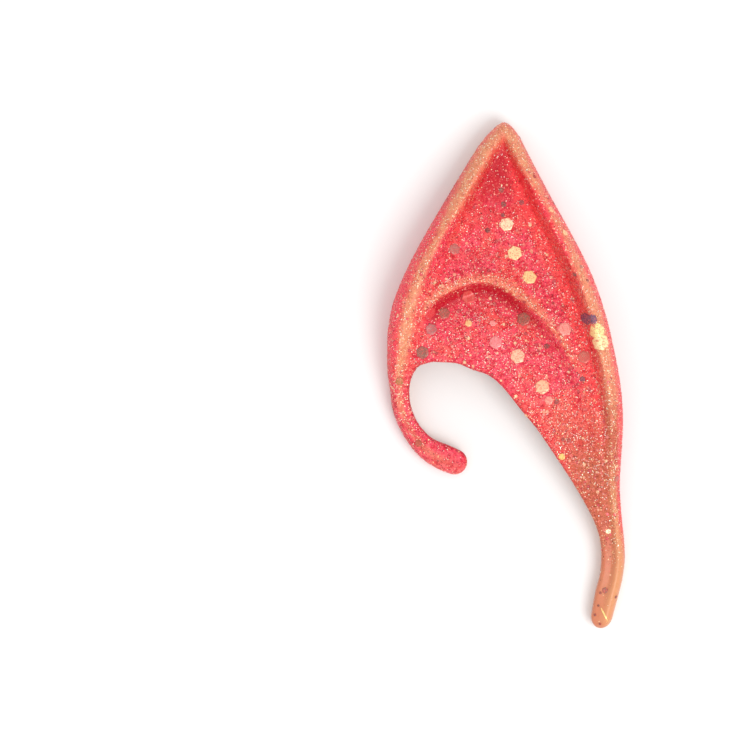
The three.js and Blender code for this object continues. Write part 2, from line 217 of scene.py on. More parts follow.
sections = spline(np.concatenate([
    shaft_sections(hook_rows, hook_drop, hook_width, hook_thickness, hook_roll, hook_rise),
    leaf_sections(root_rows, hook_drop),
    leaf_sections(leaf_rows, tail_drop),
    shaft_sections(tail_rows, tail_drop, tail_width, tail_thickness, tail_roll, tail_rows[:, 5]),
]), steps=section_steps)
inner, edge = sections[:, 0:2], sections[:, 2:4]
lengths = np.hypot(*(edge - inner).T)
along = (edge - inner) / lengths[:, None]
roll = np.minimum(sections[:, 4], most_roll * lengths)
top, rise, lip = sections[:, 5], sections[:, 6], sections[:, 7]
pocket = np.clip(sections[:, 8], 0, 1)
fold_line = spline(np.stack([fold_rows[:, 0] * ear_width, height_of(fold_rows[:, 1], tail_drop),
                             fold_rows[:, 2]], axis=1), steps=12)


def plan_of(a, aside=0.0):
    """Points in plan from places along the sections, a row of them for each section, moved to the side."""
    across = np.stack([-along[:, 1], along[:, 0]], axis=1)
    aside = np.broadcast_to(aside, a.shape)
    return inner[:, None] + along[:, None] * a[..., None] + across[:, None] * aside[..., None]


def place_where(holds):
    """The place along each section where a condition ends that holds at the outline, by halving."""
    outer, inside = lengths.copy(), np.zeros(len(lengths))
    for _ in range(26):
        middle = (outer + inside) / 2
        held = holds(plan_of(middle[:, None])[:, 0])
        outer, inside = np.where(held, middle, outer), np.where(held, inside, middle)
    return outer


def inside_by(way):
    """The place along each section that lies a given way inside the outline."""
    return place_where(lambda points: nearest_on(edge, points)[1] < way)


foot = inside_by(roll)
crest = inside_by(roll * crest_share)
fold_at = np.clip(place_where(lambda points: nearest_on(fold_line[:, :2], points)[2] > 0),
                  fold_least * foot, fold_most * foot)


def fold_height(points):
    """Height that the fold adds: an S-curve down its gentle side, another down its steep side to the hollow,
    and a third from the hollow back up to the bed."""
    at, away, side = nearest_on(fold_line[:, :2], points)
    gentle = fold_rise * (1 - smooth(away / fold_run))
    steep = mix(fold_rise, -fold_dip, smooth(away / fold_fall))
    hollow = -fold_dip * (1 - smooth((away - fold_fall) / dip_run))
    arch_side = np.where(away < fold_fall, steep, hollow)
    return value_on(fold_line[:, 2], at) * np.where(side > 0, gentle, arch_side)


def front_at(a, aside=0.0):
    """Height of the front at places along the sections: a quarter of an ellipse from the outline up to the
    roll's crest, then an S-curve down to the bed, which slopes evenly from the lip to the roll's foot."""
    points = plan_of(a, aside).reshape(-1, 2)
    at, away, _ = nearest_on(edge, points)
    near_top, near_roll = value_on(top, at), value_on(roll, at)
    near_crest = near_roll * crest_share
    short = 1 - np.clip(away / near_crest, 0, 1)
    side = mix(near_top * side_share, near_top, np.sqrt(1 - short ** 2))
    slope = mix(lip[:, None], (top - rise)[:, None], np.clip(a / foot[:, None], 0, 1)).reshape(-1)
    inwards = smooth((away - near_crest) / (near_roll - near_crest))
    bed = mix(near_top, slope + fold_height(points), inwards)
    return np.where(away < near_crest, side, bed).reshape(a.shape)


def ceiling_at(a):
    """Height of the pocket's ceiling: the lowest of the front less the wall, straight below and all round."""
    least = front_at(a) - wall
    for turn in np.arange(8) * np.pi / 4:
        for share in (0.5, 0.85):
            beside = np.clip(a + share * wall * np.cos(turn), 0, lengths[:, None])
            outside = front_at(beside, share * wall * np.sin(turn))
            least = np.minimum(least, outside - wall * np.sqrt(1 - share ** 2))
    return least


def steps(start, end, count):
    """Evenly spaced values from start towards end for each section, without the last, one section a row."""
    start, end = np.broadcast_to(start, lengths.shape), np.broadcast_to(end, lengths.shape)
    return mix(start[:, None], end[:, None], np.arange(count) / count)


def quarter(start, end, count):
    """Places from start out to end that are evenly spaced round a quarter of a circle."""
    turn = np.pi / 2 * (1 - np.arange(count) / count)
    return mix(start[:, None], np.broadcast_to(end, lengths.shape)[:, None], np.cos(turn))


def half_round(place, reach, low, high):
    """A half circle stretched to fit: reach out from the place, and up from low to high."""
    turn = np.pi * (np.arange(8) / 8 - 0.5)
    low, high = np.broadcast_to(low, lengths.shape), np.broadcast_to(high, lengths.shape)
    return (place[:, None] + reach[:, None] * np.cos(turn),
            mix(low[:, None], high[:, None], (1 + np.sin(turn)) / 2))


def opened(z):
    """Heights in the pocket, drawn in to half the lip's height where the pocket closes."""
    return mix(lip[:, None] / 2, z, pocket[:, None])


zero = np.zeros((len(lengths), 1))
nose = np.minimum((lip - opened(ceiling_at(zero))[:, 0]) / 2, fold_at / 2)
fold_foot = np.maximum(mix(nose, fold_at, 0.3), fold_at - fold_fall)
front_a = np.concatenate([steps(nose, fold_foot, 22), steps(fold_foot, fold_at, 12), steps(fold_at, foot, 24),
                          steps(foot, crest, 14), quarter(crest, lengths, 14)], axis=1)
front_z = front_at(front_a)

back_start = inside_by(np.minimum(back_round, most_round * lengths))
under_turn = np.pi / 2 * np.arange(8) / 8
under_a = mix(back_start[:, None], lengths[:, None], np.cos(under_turn))
under_z = (top * side_share)[:, None] * (1 - np.sin(under_turn))
back_nose = np.minimum(wall / 2, nose)
back_edge = lip_setback * pocket ** 2 + back_nose
back_a = steps(back_start, back_edge, 10)
floor_z = opened(np.full_like(zero, wall))
back_lip_a, back_lip_z = half_round(back_edge, -back_nose, 0.0, floor_z[:, 0])

outer_end = inside_by(wall)
end_start = inside_by(wall + np.maximum(roll * crest_share - wall, 0.2 * wall))
end_top = ceiling_at(end_start[:, None])[:, 0]
end_middle = np.clip(top * side_share, mix(wall, end_top, 0.3), mix(wall, end_top, 0.7))
floor_a = mix(back_edge[:, None], steps(back_edge, end_start, 6), pocket[:, None])
end_turn = np.pi * (np.arange(8) / 8 - 0.5)
end_a = mix(nose[:, None], mix(end_start[:, None], outer_end[:, None], np.cos(end_turn)), pocket[:, None])
end_z = np.where(end_turn < 0, wall, end_top[:, None])
end_z = opened(mix(end_middle[:, None], end_z, np.abs(np.sin(end_turn))))
under_fold = np.minimum(fold_at + wall, mix(fold_at, foot, 0.5))
ceiling_a = np.concatenate([steps(end_start, foot, 6), steps(foot, under_fold, 6),
                            steps(under_fold, fold_foot, 8), steps(fold_foot, nose, 6)], axis=1)
ceiling_z = opened(ceiling_at(ceiling_a))
ceiling_a = mix(nose[:, None], ceiling_a, pocket[:, None])
under_lip = opened(ceiling_at(nose[:, None]))[:, 0]
front_lip_a, front_lip_z = half_round(nose, -nose, under_lip, front_at(nose[:, None])[:, 0])

ring_a = np.concatenate([front_a, under_a, back_a, back_lip_a, floor_a, end_a, ceiling_a, front_lip_a],
                        axis=1)
ring_z = np.concatenate([front_z, under_z, np.zeros_like(back_a), back_lip_z,
                         np.broadcast_to(floor_z, floor_a.shape), end_z, ceiling_z, front_lip_z], axis=1)
front_count = front_a.shape[1]
lip_count = front_lip_a.shape[1]


def ring_of(row, size=1.0, outwards=0.0):
    """The points of one section's ring, drawn in about its middle to a size and moved out along the shaft."""
    a = mix(lengths[row] / 2, ring_a[row], size)
    across = np.array([-along[row, 1], along[row, 0]])
    plan = inner[row] + along[row] * a[:, None] + across * outwards
    return np.column_stack([plan, mix(top[row] / 2, ring_z[row], size)])


def round_end(row, outwards):
    """Rings of a shaft's round end, from its pole to the shaft. Their size is the sine and their reach is the
    cosine of even turns round a quarter of a circle."""
    turns = np.pi / 2 * np.arange(end_rings) / end_rings
    return np.stack([ring_of(row, np.sin(turn), outwards * np.cos(turn)) for turn in turns])


body = np.concatenate([plan_of(ring_a), ring_z[..., None]], axis=2)
hook_cap = round_end(0, hook_end_share * lengths[0])
tail_cap = round_end(-1, -tail_end_share * lengths[-1])[::-1]
rings = np.concatenate([hook_cap, body, tail_cap])
low, high = rings.min(axis=(0, 1)), rings.max(axis=(0, 1))
ear_low, ear_high = (np.array(corner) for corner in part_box("ear_tip"))
shift = np.append(((ear_low + ear_high) / 2 - (low + high) / 2)[:2], ear_low[2] - low[2])
rings = rings + shift


def add_piece(name, points, faces, material, smooth=True):
    """A mesh object of points and faces, with smooth or flat shading, riding on the ear tip's body."""
    mesh = bpy.data.meshes.new(name)
    mesh.from_pydata(points, [], faces)
    mesh.materials.append(material)
    if smooth:
        mesh.shade_smooth()
    piece = bpy.data.objects.new(name, mesh)
    bpy.context.scene.collection.objects.link(piece)
    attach(piece, "root")
    return piece


def add_values(piece, name, values):
    """A number for each vertex, which materials read by its name."""
    piece.data.attributes.new(name, "FLOAT", "POINT").data.foreach_set("value", values.astype(np.float32))


def closed_faces(ring_count, count):
    """Quads between rings of points, with the first and the last ring shrunk to a pole: faces run from ring
    to ring and round each ring, and a fan of triangles closes each pole."""
    ring, j = np.meshgrid(np.arange(1, ring_count - 2), np.arange(count), indexing="ij")
    here = 1 + (ring - 1) * count
    after = (j + 1) % count
    quads = np.stack([here + j, here + count + j, here + count + after, here + after], axis=-1).reshape(-1, 4)
    j = np.arange(count)
    after = (j + 1) % count
    last = 1 + (ring_count - 2) * count
    start = np.stack([np.zeros(count, int), 1 + j, 1 + after], axis=1)
    end = np.stack([np.full(count, last), last - count + after, last - count + j], axis=1)
    return quads.tolist() + start.tolist() + end.tolist()


def pole_rows(values):
    """Values for a closed body's vertices: one for each pole, and all of every ring between."""
    flat = values[1:-1].reshape(-1, *values.shape[2:])
    return np.concatenate([values[:1, 0], flat, values[-1:, 0]])


def linear(red, green, blue):
    """A screen colour, 0 to 255, as the linear colour that a shader takes."""
    share = np.array([red, green, blue]) / 255
    return (*np.where(share > 0.04045, ((share + 0.055) / 1.055) ** 2.4, share / 12.92), 1.0)


def bell(away, width):
    """A bell curve, e to the power of minus the square of away over width."""
    return np.exp(-(away / width) ** 2)


def below(start, run):
    """An S-curve down the plan, from 0 at a height to 1 a run below it."""
    return smooth((start - plan[:, 1]) / run)


# Where the paint lies, in millimetres inwards from the outline: the middle and half the width of the bare
# peach band along the rim's crest, its strength, and the strength of the clear red along the rim's inner
# foot. Each row belongs to the section that paint_at numbers, counted from the hook's end.
paint_at = np.array([0, 3, 5, 7, 9, 10, 11, 12, 13, 14, 16, 18, 19, 20, 21, 22, 23, 24, 25, 26, 27, 28,
                     30, 33])
paint_rows = np.array([
    [2.4, 1.2, 0.1, 0],
    [2.4, 1.3, 0.65, 0],
    [2.1, 1.2, 0.9, 0],
    [3.1, 1.4, 0.95, 0.3],
    [4.3, 1.9, 1, 0.5],
    [4.0, 1.9, 0.95, 0.5],
    [3.4, 1.7, 0.85, 0.4],
    [2.9, 1.4, 0.8, 0.3],
    [2.5, 1.9, 1, 0.3],
    [2.0, 2.1, 1, 0.4],
    [1.8, 2.2, 1, 0.6],
    [1.9, 1.8, 1, 0.8],
    [1.7, 1.3, 0.65, 1],
    [1.7, 1.4, 0.7, 1],
    [2.5, 1.7, 0.85, 1],
    [2.4, 1.9, 1, 1],
    [2.7, 1.9, 1, 1],
    [2.7, 1.7, 0.9, 0.8],
    [2.9, 1.2, 0.9, 0.5],
    [2.2, 1.0, 0.95, 0.2],
    [1.7, 0.9, 1, 0],
    [1.5, 0.9, 1, 0],
    [1.2, 1.4, 1, 0],
    [1.3, 1.5, 1, 0],
])
plan = (rings[..., :2] - shift[:2]).reshape(-1, 2)
edge_at, reach, _ = nearest_on(edge, plan)
edge_row = edge_at / section_steps
band_middle, band_half, band_strength, red_strength = (
    np.interp(edge_row, paint_at, column) for column in paint_rows.T)
rim_band = band_strength * bell(reach - band_middle * mm, band_half * mm)
edge_roll = value_on(roll, edge_at)
red_band = red_strength * bell(reach - edge_roll * 1.02, 1.9 * mm)
fold_place, fold_away, fold_side = nearest_on(fold_line[:, :2], plan)
fold_share = value_on(fold_line[:, 2], fold_place)
fold_band = bell(fold_away, np.where(fold_side > 0, 2.0 * mm, 0.9 * mm)) * smooth(fold_share * 1.2)
# Under the fold's steep side the paint turns deep red, fading towards the tail: partly the spray pooled
# there, partly painted shade.
under_fade = 1 - 0.7 * smooth((plan[:, 0] - 26 * mm) / (14 * mm))
under_band = bell(fold_away - 2.2 * mm, 2 * mm) * (fold_side < 0)
under_band = under_band * smooth(fold_share * 1.5 - 0.2) * under_fade
low_leaf = below(2 * mm, 26 * mm) * (plan[:, 0] > ear_width / 3)
tail_side = plan[:, 0] > ear_width / 2
tail_share = below(-18 * mm, 20 * mm) * tail_side
bare_tail = below(-34 * mm, 20 * mm) * tail_side
edge_band = bell(reach, 1.1 * mm) * low_leaf * (1 - bare_tail)
shape = rings.shape[:2]
column = np.arange(shape[1])
under_count = under_a.shape[1]
past_front = np.clip(column - front_count, 0, None) / under_count
sprayed = np.where(column >= shape[1] - lip_count // 2, 1, np.clip(1 - past_front, 0, 1))
sprayed = np.broadcast_to(sprayed, shape).ravel()


def node_in(tree, kind, inputs=None, **settings):
    """A node of a kind, with its settings by name and its inputs by name or number: a value, or the output
    that feeds it."""
    node = tree.nodes.new(kind)
    for name, value in settings.items():
        setattr(node, name, value)
    for name, value in (inputs or {}).items():
        if isinstance(value, bpy.types.NodeSocket):
            tree.links.new(value, node.inputs[name])
        else:
            node.inputs[name].default_value = value
    return node


def new_material(name):
    """A material, its node tree and its Principled shader."""
    material = bpy.data.materials.new(name)
    material.use_nodes = True
    return material, material.node_tree, material.node_tree.nodes["Principled BSDF"]


def attribute(tree, name):
    """A vertex value by its name."""
    return node_in(tree, "ShaderNodeAttribute", attribute_name=name).outputs["Fac"]


def noise(tree, place, scale, detail=3.0):
    """Cloudy noise, its scale in lumps to the metre."""
    inputs = {"Vector": place, "Scale": scale, "Detail": detail, "Roughness": 0.6}
    return node_in(tree, "ShaderNodeTexNoise", inputs).outputs["Fac"]


def plus(tree, base, value, share):
    """base and a share of value."""
    return node_in(tree, "ShaderNodeMath", {0: value, 1: share, 2: base}, operation="MULTIPLY_ADD").outputs[0]


def times(tree, first, second):
    """The product of two values."""
    return node_in(tree, "ShaderNodeMath", {0: first, 1: second}, operation="MULTIPLY").outputs[0]


def stretched(tree, value, low, high, out_low=0.0, out_high=1.0):
    """value on an S-curve, from out_low at low to out_high at high."""
    inputs = {"Value": value, "From Min": low, "From Max": high, "To Min": out_low, "To Max": out_high}
    return node_in(tree, "ShaderNodeMapRange", inputs, interpolation_type="SMOOTHSTEP").outputs["Result"]


def blended(tree, share, low, high):
    """A colour between low and high."""
    return node_in(tree, "ShaderNodeMix", {0: share, 6: low, 7: high}, data_type="RGBA").outputs[2]


def painted_latex():
    """Pink spray over peach latex. The front is pink and coral in clouds; a brighter pink on the rim's flank,
    which is painted light that offsets the shade there; deep red where the hollow value is high, partly the
    spray's own colour and partly painted shade; a clear red in the groove, lightened as painted light against
    the rim's shade; and peach where the crest value is high, each blend broken up by noise. Down the tail the
    peach turns tan, paler where it is bare and along the rim's stripe, which is partly a painted highlight.
    The back is bare peach with overspray near the outline. A grain of small cells lightens and darkens the
    front, as fine glitter dust does, and lifts the bump."""
    material, tree, shader = new_material("painted_latex")
    place = node_in(tree, "ShaderNodeTexCoord").outputs["Object"]
    cloud = noise(tree, place, 130, 2.0)
    mottle = noise(tree, place, 800)
    fine = noise(tree, place, 3000)
    pink = blended(tree, stretched(tree, mottle, 0.35, 0.65), linear(210, 24, 54), linear(246, 76, 100))
    coral = blended(tree, stretched(tree, mottle, 0.35, 0.65), linear(214, 28, 42), linear(246, 88, 84))
    coral_value = plus(tree, cloud, attribute(tree, "coral"), 0.5)
    front = blended(tree, stretched(tree, coral_value, 0.45, 0.68), pink, coral)
    # Painted light: the rim's outer flank is painted a brighter pink to offset the shade it falls in.
    front = blended(tree, attribute(tree, "flank_painted_light"), front, linear(255, 62, 84))
    # Deep red in the hollows: partly the spray pooled there, partly painted shade under the fold, in the tip
    # and along the lip's edge.
    hollow_shade_value = plus(tree, plus(tree, attribute(tree, "hollow"), cloud, 0.4), mottle, 0.3)
    front = blended(tree, stretched(tree, hollow_shade_value, 0.5, 1.2, 0.0, 0.95), front, linear(186, 2, 34))
    # Painted light: the clear red on the rim's inner wall is lightened to offset the shade that the rim casts
    # there.
    groove_painted_light = times(tree, attribute(tree, "groove_painted_light"), stretched(tree, mottle, 0.36, 0.62, 0.3, 1.0))
    front = blended(tree, groove_painted_light, front, linear(255, 60, 66))
    peach = blended(tree, stretched(tree, mottle, 0.3, 0.7), linear(216, 128, 94), linear(228, 152, 114))
    tan = blended(tree, stretched(tree, cloud, 0.35, 0.6), linear(186, 84, 58), linear(190, 98, 66))
    tan = blended(tree, attribute(tree, "bare"), tan, linear(202, 124, 92))
    # Along the tail the rim's stripe is a paler tan: partly the latex's own tone, partly a painted highlight.
    tan = blended(tree, attribute(tree, "stripe_and_highlight"), tan, linear(210, 144, 100))
    peach = blended(tree, attribute(tree, "tail"), peach, tan)
    crest_value = plus(tree, plus(tree, attribute(tree, "crest"), cloud, 0.35), mottle, 0.35)
    front = blended(tree, stretched(tree, plus(tree, crest_value, fine, 0.3), 0.6, 1.45), front, peach)
    dust = node_in(tree, "ShaderNodeTexVoronoi", {"Vector": place, "Scale": 4200})
    spot = node_in(tree, "ShaderNodeSeparateColor", {"Color": dust.outputs["Color"]}).outputs["Red"]
    dusty = attribute(tree, "dust")
    front = blended(tree, times(tree, stretched(tree, spot, 0.7, 0.95, 0.0, 0.55), dusty), front,
                    linear(240, 120, 112))
    front = blended(tree, times(tree, stretched(tree, spot, 0.3, 0.05, 0.0, 0.55), dusty), front,
                    linear(126, 10, 30))
    bare = blended(tree, stretched(tree, cloud, 0.3, 0.7), linear(208, 138, 104), linear(220, 154, 120))
    overspray = stretched(tree, plus(tree, attribute(tree, "spray"), mottle, 0.5), 0.4, 1.1)
    back = blended(tree, overspray, bare, linear(206, 56, 70))
    tree.links.new(blended(tree, attribute(tree, "front"), back, front), shader.inputs["Base Color"])
    rough = plus(tree, times(tree, mottle, 0.5), dusty, 0.35)
    tree.links.new(stretched(tree, rough, 0.1, 0.75, 0.24, 0.55), shader.inputs["Roughness"])
    grain = plus(tree, times(tree, dust.outputs["Distance"], dusty), fine, 0.4)
    bump = node_in(tree, "ShaderNodeBump", {"Height": plus(tree, grain, mottle, 0.6), "Strength": 0.4,
                                            "Distance": 0.12 * mm})
    tree.links.new(bump.outputs["Normal"], shader.inputs["Normal"])
    shader.inputs["Subsurface Weight"].default_value = 0.1
    shader.inputs["Subsurface Radius"].default_value = (1.0, 0.3, 0.2)
    shader.inputs["Subsurface Scale"].default_value = 1.5 * mm
    shader.inputs["Specular IOR Level"].default_value = 0.3
    return material


ear_skin = add_piece("ear_skin", pole_rows(rings), closed_faces(*shape), painted_latex())
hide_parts("ear_tip")
lip_away = ring_a[np.clip(np.arange(shape[0]) - len(hook_cap), 0, len(ring_a) - 1)].ravel()
lip_band = bell(lip_away, 0.9 * mm)
pink_edge = np.maximum(edge_band, bell(lip_away, 2.6 * mm) * (1 - tail_share))
hook_end = np.clip(1 - edge_row / 4, 0, 1)
crest_value = np.maximum(rim_band, 0.58 * fold_band) + 0.6 * low_leaf + tail_share + 0.35 * hook_end
crest_value = np.clip(crest_value, 0, 1) * (1 - 0.7 * pink_edge)
tip_band = smooth((plan[:, 1] - 22 * mm) / (24 * mm)) * (1 - rim_band)
# behind marks the tip's far side, where the tip's painted shade is weaker and the groove's painted light
# stronger.
behind = smooth((plan[:, 0] - 27 * mm) / (4 * mm))
tip_shade = 0.7 * tip_band * (1 - 0.5 * behind * red_band)
# The hollow value is painted shade as well as paint: deep red under the fold's steep side, in the tip's basin
# and along the lip's rolled edge.
hollow_shade_value = np.max([under_band, 0.12 * red_band, 0.55 * lip_band, tip_shade], axis=0)
hollow_shade_value = np.clip(hollow_shade_value * (1 - tail_share), 0, 1)
front_value = np.where(column >= front_count + under_count, 0, 1) + (column >= shape[1] - lip_count // 2)
dusted = (1 - 0.4 * rim_band) * (1 - 0.9 * bare_tail) * (1 - 0.5 * tip_band) * (1 - 0.5 * under_band)
skin_values = [
    ("crest", crest_value),
    ("hollow", hollow_shade_value),
    ("coral", np.clip(low_leaf + 0.5 * fold_band + red_band + 0.3 * tip_band, 0, 1)),
    ("tail", below(-2 * mm, 16 * mm) * tail_side),
    ("bare", bare_tail),
    # Painted light on the rim's inner wall, most on the tip's far side, where the rim's shade falls.
    ("groove_painted_light", red_band * np.maximum(0.6 * (1 - tip_band), 0.85 * behind)),
    # The tail's rim stripe, partly its own paler tan and partly a painted highlight.
    ("stripe_and_highlight", rim_band * tail_share),
    ("dust", dusted * sprayed),
    # Painted light along the rim's outer flank, fading inwards from the outline, to offset the shade there.
    ("flank_painted_light", 0.6 * (1 - smooth((reach - 2 * mm) / (2.5 * mm))) * smooth((edge_row - 6) / 3)),
    ("spray", bell(reach, 2.2 * mm)),
    ("front", np.broadcast_to(front_value, shape).astype(float)),
]
for name, values in skin_values:
    add_values(ear_skin, name, pole_rows(values.reshape(shape)))

# Glitter, small hexagons cut from coated film, sprinkled on while the spray was wet and lying at all
# angles. Cream and gold gather on the crests, pale and dark specks in the hollows, and little on the tail.
flake_points = 7
flake_lift = 0.05 * mm
rng = np.random.default_rng(12)
first = rings[:-1].reshape(-1, 3)
second = rings[1:].reshape(-1, 3)
third = np.roll(rings, -1, axis=1)[1:].reshape(-1, 3)
fourth = np.roll(rings, -1, axis=1)[:-1].reshape(-1, 3)
cell_normal = np.cross(third - first, fourth - second)
cell_area = np.linalg.norm(cell_normal, axis=1) / 2
cell_normal = cell_normal / np.maximum(2 * cell_area, 1e-12)[:, None]


def per_cell(values):
    """The value of each cell's first corner."""
    return values.reshape(shape)[:-1].ravel()


def sprinkled(count, weight):
    """Random places on the skin and the skin's direction there. A cell is as likely as its area times its
    weight, and a place in it is a blend of its four corners."""
    share = cell_area * per_cell(weight * sprayed)
    cell = rng.choice(len(share), size=count, p=share / share.sum())
    s, t = rng.random((2, count, 1))
    place = mix(mix(first[cell], second[cell], s), mix(fourth[cell], third[cell], s), t)
    return place, cell_normal[cell]


def unit(vectors):
    """Vectors at a length of 1."""
    return vectors / np.linalg.norm(vectors, axis=-1, keepdims=True)


def flakes(places, normals, radii, tilt, lift):
    """Hexagons, each with a point of a pyramid under it that sinks into the skin. The tilt is the spread of a
    random lean, and the points come as rows of seven: six corners and the sunken one."""
    up = unit(normals + rng.normal(0, tilt, normals.shape))
    aside = unit(np.cross(up, rng.normal(size=up.shape)))
    ahead = np.cross(up, aside)
    turn = np.arange(6) * np.pi / 3
    corners = aside[:, None] * np.cos(turn)[:, None] + ahead[:, None] * np.sin(turn)[:, None]
    corners = (places + normals * lift)[:, None] + corners * radii[:, None, None]
    sunk = (places - normals * lift)[:, None]
    return np.concatenate([corners, sunk], axis=1)


def flake_faces(count):
    """Five quads to a flake: two make its hexagon, and three its pyramid."""
    one = np.array([[0, 1, 2, 3], [0, 3, 4, 5], [2, 1, 0, 6], [4, 3, 2, 6], [0, 5, 4, 6]])
    return (one + flake_points * np.arange(count)[:, None, None]).reshape(-1, 4).tolist()


def film_grain():
    """A node group that gives a coated film its fine wear. Where the speck noise is high the paint below
    shows, where it is low the film is paler, and the roughness and the bump follow it."""
    group = bpy.data.node_groups.new("film_grain", "ShaderNodeTree")
    group.interface.new_socket("Film Colour", in_out="INPUT", socket_type="NodeSocketColor")
    group.interface.new_socket("Wear", in_out="INPUT", socket_type="NodeSocketFloat")
    group.interface.new_socket("Colour", in_out="OUTPUT", socket_type="NodeSocketColor")
    group.interface.new_socket("Roughness", in_out="OUTPUT", socket_type="NodeSocketFloat")
    group.interface.new_socket("Normal", in_out="OUTPUT", socket_type="NodeSocketVector")
    inside = group.nodes.new("NodeGroupInput")
    outside = group.nodes.new("NodeGroupOutput")
    place = node_in(group, "ShaderNodeTexCoord").outputs["Object"]
    speck = noise(group, place, 3200, 2.0)
    worn = times(group, stretched(group, speck, 0.5, 0.6), inside.outputs["Wear"])
    colour = blended(group, worn, inside.outputs["Film Colour"], linear(216, 88, 80))
    bright = times(group, stretched(group, speck, 0.44, 0.36), inside.outputs["Wear"])
    colour = blended(group, times(group, bright, 0.35), colour, linear(255, 226, 196))
    group.links.new(colour, outside.inputs["Colour"])
    group.links.new(stretched(group, speck, 0.3, 0.7, 0.18, 0.45), outside.inputs["Roughness"])
    bump = node_in(group, "ShaderNodeBump", {"Height": speck, "Strength": 0.3, "Distance": 0.05 * mm})
    group.links.new(bump.outputs["Normal"], outside.inputs["Normal"])
    return group


film_wear = film_grain()


def film_material(name, metallic, wear):
    """Coated film in each flake's own colour, with the film's grain."""
    material, tree, shader = new_material(name)
    film = node_in(tree, "ShaderNodeAttribute", attribute_name="film").outputs["Color"]
    grain = node_in(tree, "ShaderNodeGroup", node_tree=film_wear)
    tree.links.new(film, grain.inputs["Film Colour"])
    grain.inputs["Wear"].default_value = wear
    tree.links.new(grain.outputs["Colour"], shader.inputs["Base Color"])
    tree.links.new(grain.outputs["Roughness"], shader.inputs["Roughness"])
    tree.links.new(grain.outputs["Normal"], shader.inputs["Normal"])
    shader.inputs["Metallic"].default_value = metallic
    return material


def add_film(piece, colours):
    """The film's colour for each vertex."""
    piece.data.attributes.new("film", "FLOAT_COLOR", "POINT").data.foreach_set("color", colours.ravel())


metal_film = film_material("metal_film", 0.3, 0.0)
on_tail = (1 - 0.95 * bare_tail) * (1 - 0.7 * hook_end)
basin = np.clip(1 - 1.2 * rim_band - 0.4 * fold_band, 0.25, 1)
basin = basin * (1 - 0.85 * np.maximum(under_band, 0.85 * tip_band))
concha = smooth((fold_away - 4 * mm) / (3 * mm)) * (fold_side < 0) * fold_share
crest_weight = (0.35 + 2.4 * rim_band + 2 * fold_band + 0.5 * low_leaf) * on_tail
basin_weight = (basin + 0.2 * low_leaf + 0.6 * concha) * (1 - 0.9 * tail_share) * on_tail
# Kinds of glitter: count, least and most width in millimetres, spread of their lean, where they lie, and the
# colours of their film.
glitter_kinds = {
    "gold_glitter": (7000, 0.14, 0.34, 0.22, crest_weight,
                     [(250, 184, 142), (255, 216, 164), (255, 234, 186), (255, 244, 208), (255, 250, 232),
                      (236, 140, 112)]),
    "rose_glitter": (13000, 0.12, 0.29, 0.22, basin_weight,
                     [(232, 98, 108), (244, 130, 128), (250, 150, 136), (255, 180, 164), (255, 214, 196),
                      (255, 246, 236)]),
    "dark_glitter": (1100, 0.13, 0.28, 0.22, (0.15 + basin) * on_tail,
                     [(90, 12, 28), (34, 12, 18), (120, 18, 36), (60, 28, 24)]),
    "broad_glitter": (420, 0.5, 1.0, 0.06, (0.1 + basin) * on_tail,
                      [(244, 120, 110), (250, 168, 140), (232, 96, 100), (212, 84, 90), (196, 74, 76),
                       (252, 200, 160), (240, 140, 130)]),
}
for name, (count, least, most, lean, weight, palette) in glitter_kinds.items():
    place, normal = sprinkled(count, weight)
    radii = rng.uniform(least, most, count) / 2 * mm
    points = flakes(place, normal, radii, lean, flake_lift)
    glitter = add_piece(name, points.reshape(-1, 3), flake_faces(count), metal_film, smooth=False)
    palette = np.array([linear(*colour) for colour in palette])
    colours = palette[rng.integers(len(palette), size=count)]
    add_film(glitter, np.repeat(colours, flake_points, axis=0).astype(np.float32))

# Broad hexagons of the same film, a few dozen, each pressed on the skin. Pale ones are opaque, and the dark
# and red ones are clear film that takes the paint's colour.
half_film = 0.1 * mm
steepest = 0.8  # rise over run
bend_share = 0.85  # of the way from flat to the skin's form
most_off = 0.5 * mm  # how far the front may rise or fall from its nearest vertex
